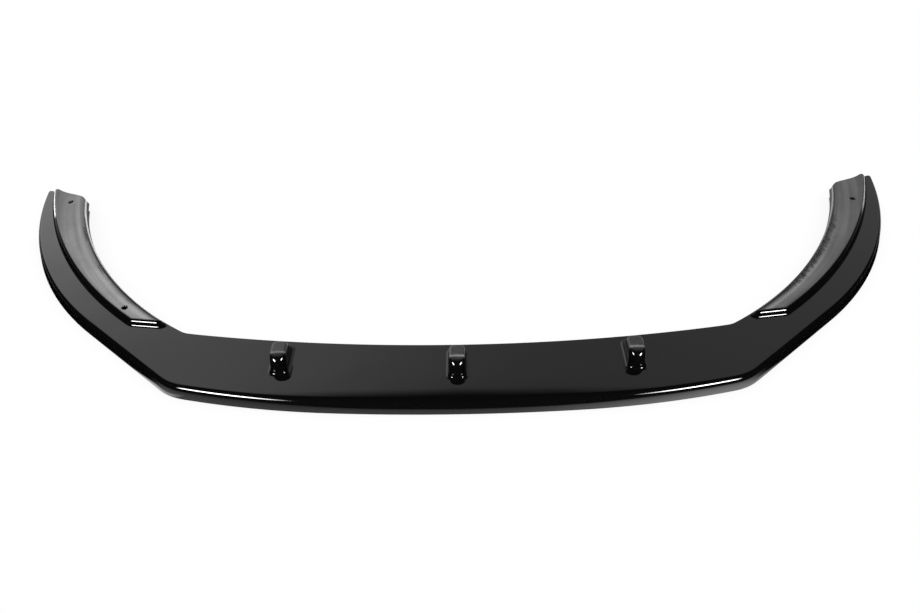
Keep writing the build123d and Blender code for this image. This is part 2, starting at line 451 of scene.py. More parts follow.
def skirt_section(draft, roll, crown_turn, crown, rise, inset, turns):
    """The skirt from the floor up and over its roll: offsets inwards and heights, one row per station.
    A wall leans in by its draft, a roll turns from there to just short of level, and a wide crown of the
    given radius eases it level with the blade. The underside is the same section moved inwards."""
    draft, roll, crown_turn = draft[:, None], roll[:, None], crown_turn[:, None]
    crown_up = rise - crown
    roll_up = crown_up + (crown - roll) * np.cos(crown_turn)
    wall_top = roll_up + roll * np.sin(draft)
    roll_in = wall_top * np.tan(draft) + roll * np.cos(draft)
    crown_in = roll_in + (crown - roll) * np.sin(crown_turn)
    roll_tilt = draft + (pi / 2 - crown_turn - draft) * turns
    crown_tilt = pi / 2 - crown_turn * np.linspace(1, 0, 7)[1:]
    roll, crown = roll - inset, crown - inset
    offs = np.hstack((roll_in - roll * np.cos(roll_tilt), crown_in - crown * np.cos(crown_tilt)))
    ups = np.hstack((roll_up + roll * np.sin(roll_tilt), crown_up + crown * np.sin(crown_tilt)))
    share = np.linspace(0, 1, 5)[:-1]
    foot = inset / np.cos(draft)
    return np.hstack((foot + (offs[:, :1] - foot) * share, offs)), np.hstack((ups[:, :1] * share, ups))


class LipGrid:
    """The shell as one closed section carried from the left tip to the right one.
    A station is a straight line across the sheet from the outer edge to the trimmed edge. Stations count
    from 0 in the middle to 1 at the wing's root, 2 at the pad's front wall and 3 at the wing's end."""

    station_counts = ((0, 1, 104), (1, 1.9, 32), (1.9, 2, 8), (2, 2.1, 26), (2.1, 2.97, 134), (2.97, 3, 12))
    wall_band = np.array((-4, -3, -2.4, -1.8, -1.1, -0.4, 0.4, 1.2, 2.1, 3, 3.8, 4.6, 5.4, 6.2, 7, 7.8, 8.7,
                          9.6, 10.6, 11.8)) * MM
    under_band = np.array((-2.5, -0.5, 1, 2.5, 4, 6, 8, 10)) * MM
    roll_turns, under_turns = np.linspace(0, 1, 13), np.linspace(0, 1, 6)
    fills, under_fills = (6, 16), (4, 10)
    edge_rows = 3
    root_run = 0.40
    front_lead, front_lag = 10 * MM, 24 * MM
    least_slant = 0.42
    ridge_gap = 3 * MM
    step_room = 40 * MM
    cut_fade = 0.6 * MM

    def __init__(self, sizes, plan, form):
        self.s, self.plan, self.form = sizes, plan, form
        self.half_stations()

    def half_stations(self):
        """Runs of the right half's stations along both edges: close together at the pad's front wall."""
        s, plan = self.s, self.plan
        marks = [0, 1, 1.9, 2, 2.1, 3]
        near_wall = np.array((-self.front_lead, 0, self.front_lag))
        outer_at, trim_at = self.front_wall_runs()
        trim_turn = float(np.interp(trim_at, plan.trim.run, plan.trim.heading))
        outer_near = outer_at + near_wall / sin(s.flank_angle - s.pad_skew)
        trim_near = trim_at + near_wall / sin(trim_turn - s.pad_skew)
        self.stations = spread(*self.station_counts)
        self.outer_run = np.interp(self.stations, marks, [0, self.root_run, *outer_near, plan.outer.reach])
        self.trim_run = np.interp(self.stations, marks, [0, self.root_run, *trim_near, plan.trim.reach])

    def front_wall_runs(self):
        """Runs at which the line of the pad's front wall crosses the outer and the trimmed edge."""
        plan = self.plan

        def crossing(path):
            behind = (path.points - plan.pad_corner) @ plan.front_in
            return path.run[np.argmin(np.abs(behind) + (path.points[:, 0] < self.s.bay_half))]

        return crossing(plan.outer), crossing(plan.trim)

    def skirt_values(self):
        """Draft, roll and crown turn of the skirt at every station."""
        s = self.s
        marks = [0, 0.4, 0.8, 1, 1.5, 2.4, 3]
        drafts = [s.front_draft] * 4 + [s.flank_draft] * 2 + [s.tip_draft]
        rolls = [s.front_roll, s.front_roll * 0.95, *[s.shoulder_roll] * 2, *[s.edge_roll] * 2, s.tip_roll]
        crowns = np.array((1, 0.75, 0.2, 0.08, 0.02, 0.02, 0.02)) * s.crown_turn
        return [np.interp(self.stations, marks, values) for values in (drafts, rolls, crowns)]

    def trim_offsets(self):
        """How far inside the trimmed edge columns run down the pad's roll, on the skin and underneath."""
        s = self.s

        def rolled(start, count):
            return start + (s.pad_ridge - start) * (1 - np.cos(np.linspace(pi / 2, 0, count)))

        skin = np.concatenate((s.pad_ridge + np.array((3, 1.2, 0.5)) * MM, rolled(0, 11)[:-2],
                               np.array((1.0, 0.55, 0.28, 0.08, 0)) * s.cut_round))
        under = np.concatenate(([s.pad_ridge + self.ridge_gap], rolled(s.sheet, 6)[:-1],
                                s.sheet + np.array((0.03, -0.2)) * MM, [MM]))
        return np.sort(np.unique(np.round(skin, 6)))[::-1], under

    def layer(self, lines, inset, turns, band_offs, fills, trim_offs):
        """Columns of the skin, or of the underside that lies inside it, from the skirt's foot to the trimmed
        edge, with their heights, and the columns at which ledge, pad and roll start."""
        s = self.s
        outer, ahead, width, outer_slant, trim_slant, step_at, step_slant = lines
        offs, skirt_up = skirt_section(*self.skirt_values(), s.crown_radius, s.blade_rise, inset, turns)
        skirt = offs / outer_slant[:, None]
        step = step_at[:, None] + band_offs / step_slant[:, None]
        roll = width[:, None] - trim_offs / trim_slant[:, None]
        ledge = self.fill(skirt[:, -1:], step[:, :1], fills[0])
        pad = self.fill(step[:, -1:], roll[:, :1], fills[1])
        flat = np.hstack((ledge, step, pad, roll))
        xy = outer[:, None] + ahead[:, None] * np.hstack((skirt, flat))[:, :, None]
        ledge_start = skirt.shape[1]
        flat_up = self.form.height(xy[:, ledge_start:].reshape(-1, 2), inset).reshape(flat.shape)
        pad_start = ledge_start + fills[0] + len(band_offs)
        return xy, np.hstack((skirt_up, flat_up)), (ledge_start, pad_start, pad_start + fills[1])

    def sections(self):
        """Closed sections of the right half, (stations, columns, 3): the skin from its outer foot to the
        trimmed edge, the sawn edge, and the underside back to the foot."""
        s, plan = self.s, self.plan
        outer = plan.outer.at(self.outer_run)
        across = plan.trim.at(self.trim_run) - outer
        width = np.hypot(*across.T)
        ahead = across / width[:, None]
        outer_slant = rows_dot(ahead, plan.outer.left(self.outer_run))
        trim_slant = np.maximum(rows_dot(ahead, plan.trim.left(self.trim_run)), self.least_slant)
        to_end = (plan.outer.reach - self.outer_run) * outer_slant
        corner = roll_drop(to_end, s.tip_round) / outer_slant
        outer, width = outer + ahead * corner[:, None], width - corner
        room = width - (s.pad_ridge + self.ridge_gap) / trim_slant - self.step_room
        lines = outer, ahead, width, outer_slant, trim_slant, *self.step_crossing(outer, ahead, width, room)
        skin_offs, under_offs = self.trim_offsets()
        xy, z, starts = self.layer(lines, 0, self.roll_turns, self.wall_band, self.fills, skin_offs)
        z[:, -len(skin_offs):] -= roll_drop(skin_offs, s.cut_round) * self.cut_share(z[:, -1:])
        under_xy, under_z, under_starts = self.layer(lines, s.sheet, self.under_turns, self.under_band,
                                                     self.under_fills, under_offs)
        drop = np.linspace(0, 1, self.edge_rows + 1)[1:]
        edge_z = z[:, -1:] + (s.blade_rise - s.sheet - z[:, -1:]) * drop
        edge_xy = np.repeat(xy[:, -1:], self.edge_rows, axis=1)
        top = xy.shape[1]
        xy = np.concatenate((xy, edge_xy, under_xy[:, ::-1]), axis=1)
        z = np.concatenate((z, edge_z, under_z[:, ::-1]), axis=1)
        self.columns = dict(zip(("skirt", "pad", "roll"), starts), top=top, edge=top + self.edge_rows)
        self.columns["all"] = xy.shape[1]
        self.under_pad = under_starts[1:]
        return np.dstack((xy - (0, s.depth / 2), z))

    def cut_share(self, edge_height):
        """Full rounding of the sawn edge on the level blade, none where the pad has rolled down to it."""
        return np.clip((self.s.blade_rise + self.cut_fade - edge_height) / self.cut_fade, 0, 1)

    def step_crossing(self, outer, ahead, width, room):
        """Where stations cross the foot of the step, and how squarely. In front of the pad, the same share
        of the width as at its front wall, as far as there is room."""
        step = self.plan.step
        start = outer - step.centre
        along = rows_dot(start, ahead)
        crossing = -along - np.sqrt(np.maximum(along ** 2 + step.radius ** 2 - rows_dot(start, start), 0))
        wing = self.stations >= 2
        share = crossing[wing][0] / width[wing][0]
        at = np.where(wing, crossing, np.minimum(share * width, room))
        inwards = -(outer + ahead * at[:, None] - step.centre) / step.radius
        slant = rows_dot(inwards, ahead)
        return at, np.where(wing, slant, slant[wing][0])

    @staticmethod
    def fill(start, end, count):
        """Evenly spaced columns strictly between two columns."""
        return start + (end - start) * np.linspace(0, 1, count + 2)[1:-1]

    def whole(self):
        """Points of all stations from the left tip to the right one."""
        right = self.sections()
        return np.concatenate((right[:0:-1] * (-1, 1, 1), right))


class ShellMesh:
    """A growing mesh: the grid's quads, less the blocks that towers and holes replace, and their rings."""

    def __init__(self, points, column_finish):
        self.rows, self.columns = points.shape[:2]
        self.points = [points.reshape(-1, 3)]
        self.count = self.rows * self.columns
        self.keep = np.ones((self.rows - 1, self.columns), bool)
        self.column_finish = column_finish
        self.faces = []
        self.finish = []

    def index(self, row, column):
        """Vertex numbers of grid places."""
        return np.asarray(row) * self.columns + np.asarray(column)

    def all_faces(self, end_finish):
        """Quads of the grid, closed round the section, a face across each end, all rings, and finishes."""
        row, column = np.nonzero(self.keep)
        after = (column + 1) % self.columns
        quads = np.column_stack((self.index(row, column), self.index(row + 1, column),
                                 self.index(row + 1, after), self.index(row, after)))
        first = np.arange(self.columns)
        last = self.index(self.rows - 1, first)[::-1]
        faces = [*quads.tolist(), first.tolist(), last.tolist(), *self.faces]
        return faces, [*self.column_finish[column], end_finish, end_finish, *self.finish]

    def open_block(self, row0, row1, column0, column1):
        """Take a block of quads out and return its rim's vertex numbers, corner by corner."""
        self.keep[row0:row1, column0:column1] = False
        rows, columns = np.arange(row0, row1), np.arange(column0, column1)
        sides = [self.index(row0, columns), self.index(rows, column1),
                 self.index(row1, columns[::-1] + 1), self.index(rows[::-1] + 1, column0)]
        return np.concatenate(sides), [len(side) for side in sides]

    def place(self, numbers):
        """Places of vertices."""
        return np.concatenate(self.points)[numbers]

    def add(self, points):
        """Put new vertices in and return their numbers."""
        numbers = self.count + np.arange(len(points))
        self.points.append(points)
        self.count += len(points)
        return numbers

    def bridge(self, near, far, finish):
        """Quads between two rings of equal count."""
        self.faces += np.column_stack((near, np.roll(near, -1), np.roll(far, -1), far)).tolist()
        self.finish += [finish] * len(near)

    def grow(self, near, points, finish):
        """Put a ring of vertices in, joined to the ring before, and return their numbers."""
        far = self.add(points)
        self.bridge(near, far, finish)
        return far

    def cap(self, ring, finish):
        """Triangles from a ring to a point in its middle."""
        middle = self.add(self.place(ring).mean(axis=0)[None])[0]
        self.faces += np.column_stack((ring, np.roll(ring, -1), np.full(len(ring), middle))).tolist()
        self.finish += [finish] * len(ring)


# Towers and holes: steps in half a corner, rings across a block to a tower's foot and across its top
CORNER_STEPS, APRON_RINGS, LID_RINGS = 6, (0.45, 0.85), (0.88, 0.6, 0.3)
# How full a corner may get, least crest underneath, turn of the hollow foot, and where corners change
FULL_CORNER, LEAST_CREST, FOOT_TURN = 0.98, 0.6 * MM, radians(80)
CORNER_GROWS, LID_POWER = (0.1, 0.6), 6
# First ring round a hole, in radii, and wall of its burr
HOLE_CLEAR, BURR_WALL = 1.6, 0.8 * MM


def rounded_rectangle(sides, half_width, half_length, corner):
    """Points on a rounded rectangle, in the order of a block's rim, as many per side as given.
    Each side runs from the middle of one corner to the middle of the next, evenly by length."""
    corner = min(corner, half_width * FULL_CORNER, half_length * FULL_CORNER)
    wide, long = half_width - corner, half_length - corner
    centres = [(-wide, -long), (-wide, long), (wide, long), (wide, -long)]
    turns = np.linspace(-pi / 4, pi / 4, 2 * CORNER_STEPS + 1)
    arcs = []
    for number, centre in enumerate(centres):
        facing = radians(225 - 90 * number) - turns
        arcs.append(centre + corner * np.column_stack((np.cos(facing), np.sin(facing))))
    rows = []
    for number, count in enumerate(sides):
        side = np.vstack((arcs[number][CORNER_STEPS:], arcs[(number + 1) % 4][:CORNER_STEPS + 1]))
        run = np.concatenate(([0], np.cumsum(np.hypot(*np.diff(side, axis=0).T))))
        share = np.arange(count) / count * run[-1]
        rows.append(np.column_stack([np.interp(share, run, side[:, k]) for k in (0, 1)]))
    return np.vstack(rows)


def tower_side(sizes, heights, foot, low, top, crest):
    """Reach of one side of a tower at heights above the blade: a hollow foot, a leaning wall, a round crest.
    low and top are the wall's reaches at the blade and, before the crest is rounded, at the tower's top."""
    rise = sizes.tower_rise
    draft = atan2(low - top, rise)
    bend = tan((pi / 2 - draft) / 2)
    hollow = low + foot * bend - np.sqrt(np.maximum(foot ** 2 - (foot - heights) ** 2, 0))
    wall = low - heights * tan(draft)
    over = np.maximum(heights - (rise - crest), 0)
    dome = top - crest * bend + np.sqrt(np.maximum(crest ** 2 - over ** 2, 0))
    crest_low = rise - crest * (1 - sin(draft))
    return np.where(heights < foot * (1 - sin(draft)), hollow, np.where(heights < crest_low, wall, dome))


def tower_front(sizes):
    """How far a tower's top reaches ahead of the middle of its foot, and the draft of its front."""
    front = sizes.tower_top_length / 2 + sizes.tower_lead
    return front, atan2(sizes.tower_foot_length / 2 - front, sizes.tower_rise)


def tower_levels(sizes, inset):
    """Rings up a tower as rows of height, half width, half length, lead of the middle and corner radius."""
    s = sizes
    foot = s.foot_round + inset
    crest = max(s.tower_crest - inset, LEAST_CREST)
    brow = s.tower_brow - inset
    front_top, front_draft = tower_front(s)
    rear_top = s.tower_top_length / 2 - s.tower_lead
    foot_up = foot * (1 - np.cos(np.linspace(0, FOOT_TURN, 6)))
    brow_up = s.tower_rise - brow * (1 - np.sin(np.linspace(front_draft, pi / 2, 15)))
    heights = np.concatenate((foot_up, np.linspace(foot_up[-1], brow_up[0], 4)[1:-1], brow_up))
    sides = ((s.tower_foot_width / 2, s.tower_top_width / 2, crest),
             (s.tower_foot_length / 2, front_top, brow), (s.tower_foot_length / 2, rear_top, crest))
    wide, front, rear = (tower_side(s, heights, foot, low - inset, top - inset, curve)
                         for low, top, curve in sides)
    lid = np.clip((heights - s.tower_rise) / brow + 1, 0, 1) ** LID_POWER
    upper = ramp(heights / s.tower_rise, *CORNER_GROWS)
    body = s.tower_foot_corner + (s.tower_corner - s.tower_foot_corner) * upper
    corner = body + (s.tower_lid_corner - body) * lid
    up = s.blade_rise - inset + heights
    return np.column_stack((up, wide, (front + rear) / 2, (rear - front) / 2, corner))


def raise_tower(mesh, sizes, block, centre, inset, finish):
    """Replace a block of the grid by a tower's rings, from its hollow foot to its level top."""
    rim, sides = mesh.open_block(*block)
    base = sizes.blade_rise - inset
    rim_xy = mesh.place(rim)[:, :2]
    first_side = rim_xy[sides[0]] - rim_xy[0]
    order = np.array((1, 1 if first_side[1] > 0 else -1))
    levels = tower_levels(sizes, inset)
    lid = [levels[-1] * (1, share, share, 1, share) for share in LID_RINGS]

    def ring(level):
        wide, long, lead, corner = level[1:]
        return rounded_rectangle(sides, wide, long, corner) * order + centre + (0, lead)

    apron = [(rim_xy + (ring(levels[0]) - rim_xy) * share, base) for share in APRON_RINGS]
    near = rim
    for xy, up in (*apron, *((ring(level), level[0]) for level in (*levels, *lid))):
        near = mesh.grow(near, np.column_stack((xy, np.full(len(rim), up))), finish)
    mesh.cap(near, finish)


def drill_hole(mesh, sizes, form, blocks, centre, finishes):
    """Replace a block of the upper skin and the like block of the underside by a round hole between them.
    Rings go over the soft upper rim and the burr underneath, and the hole's wall joins the two edges."""
    radius, burr, wall = sizes.hole / 2, sizes.hole_burr, BURR_WALL
    turns = np.linspace(0, pi / 2, 6)
    clear = radius * HOLE_CLEAR, 0
    rim_rings = zip(radius + sizes.hole_rim * (1 - np.sin(turns)), -sizes.hole_rim * (1 - np.cos(turns)))
    rings = [clear, *rim_rings], [clear, (radius + 2 * wall, 0), (radius + wall, -burr), (radius, -burr)]
    edges, facing = [], None
    for number, inset in enumerate((0, sizes.sheet)):
        near = mesh.open_block(*blocks[number])[0]
        rim_xy = mesh.place(near)[:, :2] - centre
        own = np.arctan2(rim_xy[:, 1], rim_xy[:, 0])
        if facing is not None:
            tries = [np.roll(facing[::-1], k) for k in range(len(own))]
            shift = int(np.argmin([np.abs(np.exp(1j * tried) - np.exp(1j * own)).sum() for tried in tries]))
            own = tries[shift]
        facing = own
        spokes = np.column_stack((np.cos(own), np.sin(own)))
        for reach, up in rings[number]:
            ring = spokes * reach + centre
            heights = form.height(form.on_plan(ring), inset) + up
            near = mesh.grow(near, np.column_stack((ring, heights)), finishes[number])
        edges.append(near)
    mesh.bridge(edges[0], np.roll(edges[1], -shift)[::-1], finishes[2])


def tower_places(sizes, plan):
    """Plan places of the middles of the towers' feet, a margin ahead of the rear edge."""
    s = sizes
    across = np.array((-1, 0, 1)) * s.tower_spacing
    rear = s.blade_depth + plan.rear_radius - np.sqrt(plan.rear_radius ** 2 - across ** 2)
    return np.column_stack((across, rear - s.tower_margin - s.tower_foot_length / 2 - s.depth / 2))


def hole_places(sizes):
    """Plan places of the screw holes."""
    return np.array((sizes.left_rear_hole, sizes.left_front_hole, sizes.right_hole))


class SkinMarks:
    """What the skin shows at its points, as shares from 0 to 1: dull bloom with painted shade and painted
    highlights in it, painted highlight lines and the dark step. foot and trim are distances inside the pad's
    foot and its trimmed edge. along runs from the pad's front wall, 0, to the wing's end, 1. A mark is a
    product of smooth ramps over these, other left than right."""

    # Bloom on the pads, with painted shade along the trimmed edge, by the nose and in the hollow, a painted
    # highlight on the ridge, and the left pad painted lighter than the right
    bloom_start = 8.2 * MM, 10.5 * MM
    bare, bare_more, bare_fade = 0.5 * MM, 4 * MM, 2 * MM
    # Painted shade: the bloom thins along the roll to the trimmed edge and by the nose
    strip, strip_thin = (10 * MM, 15 * MM), 0.26
    nose_strip, nose_run, nose_thin = (9 * MM, 14.5 * MM), (0.12, 0.45), (0.30, 0.34)
    # Painted highlight: the bloom thickens on the ridge; painted shade: it thins in the hollow
    ridge, ridge_more = (16.5 * MM, 3 * MM), 0.10
    ridge_run, ridge_thick = (0.30, 0.80), (0.10, 0.70)
    hollow, hollow_thin = (25 * MM, 4 * MM), 0.08
    # Painted light: the left pad's bloom is thicker, so lighter, than the right's
    left_thin, left_power, right_thick = 0.42, 1.3, 0.40
    rim_clear = 0.2, 1.6
    # Bloom on the towers' tops, and a painted highlight along the front of the brow
    # Painted highlight: a bright band along the front of each tower's brow
    lid, lid_bloom, lid_worn = (-2.6 * MM, -0.6 * MM), 0.085, 0.62
    worn = 0.8 * MM, 1.7 * MM
    # Painted highlight lines along the trimmed edge and the crest
    edge_line, edge_run = ((0.1 * MM, 0.5 * MM), (1.6 * MM, 3.4 * MM)), (0.02, 0.10)
    left_edge, left_edge_fade, left_edge_run = 0.80, 0.75, (0.93, 0.985)
    right_edge, right_edge_fade, right_edge_run = 0.40, 0.65, (0.5, 0.9)
    crest_line = (2.6 * MM, 4.2 * MM), (6.2 * MM, 8 * MM)
    left_crest, left_crest_run = 0.80, (0.865, 0.885)
    right_crest, right_crest_run = 0.24, (0.80, 0.88)
    above_blade = 0.5 * MM
    # Dark wall of the step
    step_wall, wall_run = ((-2.5 * MM, -0.5 * MM), (6.2 * MM, 8.5 * MM)), (0.05, 0.12)
    nose = 7 * MM, 12 * MM
    # Texture run at which each half starts
    run_start = 2

    def __init__(self, sizes, plan, form, points):
        self.s, self.plan, self.points = sizes, plan, points
        on_plan = form.on_plan(points)
        self.foot, self.trim = form.pad_distances(on_plan)
        self.along = form.along(on_plan)
        spoke = on_plan - plan.wing_trim.centre
        self.run = np.arctan2(spoke[:, 1], spoke[:, 0]) * plan.wing_trim.radius

    def sided(self, left, right):
        """One value on the left half and another on the right."""
        return np.where(self.points[:, 0] < 0, left, right)

    def edge_places(self):
        """Run along the trimmed edge and gap to it. The left half counts the other way."""
        run = self.run_start + self.run
        return np.column_stack((self.sided(-run, run), self.trim))

    def bloom_and_painted_light(self):
        """Dull bloom on the pads and the towers' tops, with the painted shade and painted highlights in it.
        """
        return np.maximum(self.pad_bloom_and_painted_light() * self.clear_of_holes(), self.top_bloom_and_highlight())

    def pad_bloom_and_painted_light(self):
        """Bloom on the pads: thinner along the trimmed edge and by the nose as painted shade, thicker on the
        ridge as a painted highlight, thinner in the hollow as painted shade, and thicker on the left pad than
        the right as painted light.
        """
        trim, along = self.trim, self.along
        by_nose = (1 - ramp(along, *self.nose_run)) * (1 - ramp(trim, *self.nose_strip))
        strip = 1 - self.strip_thin * (1 - ramp(trim, *self.strip)) - self.sided(*self.nose_thin) * by_nose
        ridge_highlight_share = self.ridge_more + self.sided(*self.ridge_thick) * (1 - ramp(along, *self.ridge_run))
        ridge = ridge_highlight_share * bell(trim, *self.ridge) - self.hollow_thin * bell(trim, *self.hollow)
        inside = ramp(trim - self.bare - self.bare_more * along, 0, self.bare_fade)
        sided_painted_light = self.sided(1 - self.left_thin * along ** self.left_power, self.right_thick)
        return ramp(self.foot, *self.bloom_start) * inside * (strip + ridge) * sided_painted_light

    def clear_of_holes(self):
        """1 away from the screw holes, falling to 0 over their rims."""
        near, far = (self.s.hole / 2 + share * self.s.hole_rim for share in self.rim_clear)
        reaches = [np.hypot(*(self.points[:, :2] - place).T) for place in hole_places(self.s)]
        return ramp(np.min(reaches, axis=0), near, far)

    def top_bloom_and_highlight(self):
        """Bloom on the towers' tops, thin on the level, and a painted highlight along the front of the brow.
        """
        s = self.s
        up = self.points[:, 2] - s.blade_rise - s.tower_rise
        front, draft = tower_front(s)
        brow = front - s.tower_brow * tan((pi / 2 - draft) / 2)
        worn = np.zeros(len(up))
        for x, y in tower_places(s, self.plan):
            near = np.abs(self.points[:, 0] - x) < s.tower_foot_width
            worn = np.maximum(worn, near * bell(y - brow - self.points[:, 1], *self.worn))
        return ramp(up, *self.lid) * (self.lid_bloom + self.lid_worn * worn)

    def painted_highlight(self):
        """Painted highlight lines: a line along the pads' trimmed edge, and the step's crest near the tips.
        """
        along = self.along
        left_edge = self.left_edge * (1 - self.left_edge_fade * ramp(along, *self.left_edge_run))
        right_edge = self.right_edge * (1 - self.right_edge_fade * (1 - ramp(along, *self.right_edge_run)))
        left_crest = self.left_crest * ramp(along, *self.left_crest_run)
        right_crest = self.right_crest * ramp(along, *self.right_crest_run)
        edge = band(self.trim, *self.edge_line) * ramp(along, *self.edge_run)
        marked = np.maximum(edge * self.sided(left_edge, right_edge),
                            band(self.foot, *self.crest_line) * self.sided(left_crest, right_crest))
        return (self.points[:, 2] > self.s.blade_rise + self.above_blade) * marked

    def wall(self):
        """The step's wall and the nose: 1 there, 0 on the crest, on the ledge and at the pad's front wall."""
        beyond = np.maximum(ramp(self.along, *self.wall_run), 1 - ramp(self.trim, *self.nose))
        return band(self.foot, *self.step_wall) * beyond


class LipBuilder:
    """Puts the grid, the towers and the holes together and keeps the finish of every face."""

    skin, under, cut = 0, 1, 2
    skirt_rows = 10
    tower_rows, tower_gap = 6, 4 * MM
    most_rows, most_columns = 29, 8
    sharp = radians(40)

    def __init__(self, sizes):
        self.s = sizes
        self.plan = LipPlan(sizes)
        self.form = LipForm(sizes, self.plan)
        self.grid = LipGrid(sizes, self.plan, self.form)
        self.points = self.grid.whole()
        self.mesh = ShellMesh(self.points, self.column_finish())

    def column_finish(self):
        """The finish of the faces that start at each column of the section."""
        c = self.grid.columns
        finish = np.full(c["all"], self.skin)
        finish[c["top"] - 1:c["edge"]] = self.cut
        finish[c["edge"]:] = self.under
        finish[-1] = self.cut
        return finish

    def towers(self):
        """Three towers along the rear edge, drawn up out of the blade and hollow from below."""
        s, c = self.s, self.grid.columns
        layers = ((c["skirt"], c["top"], 0, self.skin),
                  (c["edge"], c["all"] - self.skirt_rows, s.sheet, self.under))
        for centre in tower_places(s, self.plan):
            for first, last, inset, finish in layers:
                row = int(np.argmin(np.abs(self.points[:, (first + last) // 2, 0] - centre[0])))
                gap = np.abs(self.points[row, first:last, 1] - centre[1])
                inside = first + np.nonzero(gap < s.tower_foot_length / 2 + self.tower_gap)[0]
                block = row - self.tower_rows, row + self.tower_rows, inside[0] - 1, inside[-1] + 1
                raise_tower(self.mesh, s, block, centre, inset, finish)

    def holes(self):
        """Screw holes through the pads."""
        c, finishes = self.grid.columns, (self.skin, self.under, self.skin)
        start, end = self.grid.under_pad
        for centre in hole_places(self.s):
            upper = self.hole_block(centre, c["pad"], c["roll"])
            lower = self.hole_block(centre, c["all"] - end, c["all"] - start, upper)
            drill_hole(self.mesh, self.s, self.form, (upper, lower), centre, finishes)

    def hole_block(self, centre, first, last, like=None):
        """The block of quads round a hole: as many rows and columns as reach clear of it, or as many as in
        another block."""
        reach = np.hypot(*(self.points[:, first:last, :2] - centre).transpose(2, 0, 1))
        row, column = np.unravel_index(np.argmin(reach), reach.shape)
        if like:
            half_rows, half_columns = (like[1] - like[0]) // 2, (like[3] - like[2]) // 2
        else:
            half_rows = self.clear_steps(reach[:, column], row, self.most_rows)
            half_columns = self.clear_steps(reach[row], column, self.most_columns)
        column += first
        return row - half_rows, row + half_rows, column - half_columns, column + half_columns

    def clear_steps(self, reach, at, most):
        """How many steps both ways come clear of a hole, from two up to the most there may be."""
        last = len(reach) - 1
        for steps in range(2, most):
            if min(reach[max(at - steps, 0)], reach[min(at + steps, last)]) > self.s.hole:
                return steps
        return most

    def build(self, name):
        """The finished mesh."""
        self.towers()
        self.holes()
        faces, finish = self.mesh.all_faces(self.cut)
        points = np.concatenate(self.mesh.points)
        data = bpy.data.meshes.new(name)
        data.from_pydata(points.tolist(), [], faces)
        data.polygons.foreach_set("material_index", np.asarray(finish, np.int32))
        marks = SkinMarks(self.s, self.plan, self.form, points)
        for title, values in {"bloom_and_painted_light": marks.bloom_and_painted_light(), "painted_highlight": marks.painted_highlight(), "wall": marks.wall()}.items():
            data.attributes.new(title, "FLOAT", "POINT").data.foreach_set("value", values.astype(np.float32))
        corners = np.empty(len(data.loops), np.int32)
        data.loops.foreach_get("vertex_index", corners)
        uv = data.uv_layers.new(name="along_trim")
        uv.data.foreach_set("uv", marks.edge_places()[corners].astype(np.float32).ravel())
        turned = bmesh.new()
        turned.from_mesh(data)
        bmesh.ops.recalc_face_normals(turned, faces=turned.faces)
        turned.to_mesh(data)
        turned.free()
        data.shade_smooth()
        data.set_sharp_from_angle(angle=self.sharp)
        data.validate()
        return data


class NodeSheet:
    """Short hand for placing and joining nodes in a tree."""

    def __init__(self, tree):
        self.tree = tree

    def node(self, kind, inputs=None, **settings):
        """A node with settings; inputs are values, or sockets to join."""
        made = self.tree.nodes.new("ShaderNode" + kind)
        for key, value in settings.items():
            setattr(made, key, value)
        for key, value in (inputs or {}).items():
            self.feed(made.inputs[key], value)
        return made

    def feed(self, socket, value):
        """Join a socket, or set its value."""
        if isinstance(value, bpy.types.NodeSocket):
            self.tree.links.new(value, socket)
        else:
            socket.default_value = value

    def math(self, operation, *values, clamp=False):
        """The result of a Math node, or of several in a row for more than two values."""
        def pair(a, b):
            return self.node("Math", {0: a, 1: b}, operation=operation, use_clamp=clamp).outputs[0]

        return reduce(pair, values)

    def times(self, *values):
        """The product of values."""
        return self.math("MULTIPLY", *values)

    def plus(self, *values):
        """The sum of values."""
        return self.math("ADD", *values)

    def less(self, a, b):
        """The first value less the second."""
        return self.math("SUBTRACT", a, b)

    def most(self, *values):
        """The largest of values."""
        return self.math("MAXIMUM", *values)

    def reach(self, x, y, centre=(0.0, 0.0)):
        """Distance of a plan place from a centre: the root of the sum of squares."""
        x, y = self.less(x, centre[0]), self.less(y, centre[1])
        return self.math("SQRT", self.plus(self.times(x, x), self.times(y, y)), 0.0)

    def blend(self, share, a, b, kind="RGBA"):
        """A mix of two colours, or of two numbers."""
        made = self.node("Mix", data_type=kind)
        for key, value in (("Factor", share), ("A", a), ("B", b)):
            self.feed(made.inputs[key], value)
        return made.outputs["Result"]

    def between(self, value, span, to, smooth=True):
        """A value carried from one range to another."""
        keys = "Value", "From Min", "From Max", "To Min", "To Max"
        return self.node("MapRange", dict(zip(keys, (value, *span, *to))),
                         interpolation_type="SMOOTHSTEP" if smooth else "LINEAR").outputs["Result"]

    def rise(self, value, span):
        """0 below a range and 1 above it."""
        return self.between(value, span, (0.0, 1.0))

    def fall(self, value, span):
        """1 below a range and 0 above it."""
        return self.between(value, span, (1.0, 0.0))

    def noise(self, place, scale, detail, roughness=0.5):
        """Cloudy noise over a place."""
        inputs = {"Vector": place, "Scale": scale, "Detail": detail, "Roughness": roughness}
        return self.node("TexNoise", inputs).outputs["Fac"]

    def stretch(self, place, scale, turn=0.0):
        """A place stretched and turned."""
        return self.node("Mapping", {"Vector": place, "Scale": scale, "Rotation": (0, 0, turn)}).outputs[0]

    def mark(self, name):
        """A mark of the skin."""
        return self.node("Attribute", attribute_name=name).outputs["Fac"]

    def bump(self, shader, height, strength, distance, under=None):
        """Feed a bump to a shader, over another one if given, and return its normal."""
        made = self.node("Bump", {"Height": height, "Strength": strength, "Distance": distance})
        if under:
            self.feed(made.inputs["Normal"], under)
        self.feed(shader.inputs["Normal"], made.outputs[0])
        return made.outputs[0]


def rgba(value):
    """A colour with full alpha."""
    return (*value, 1.0)


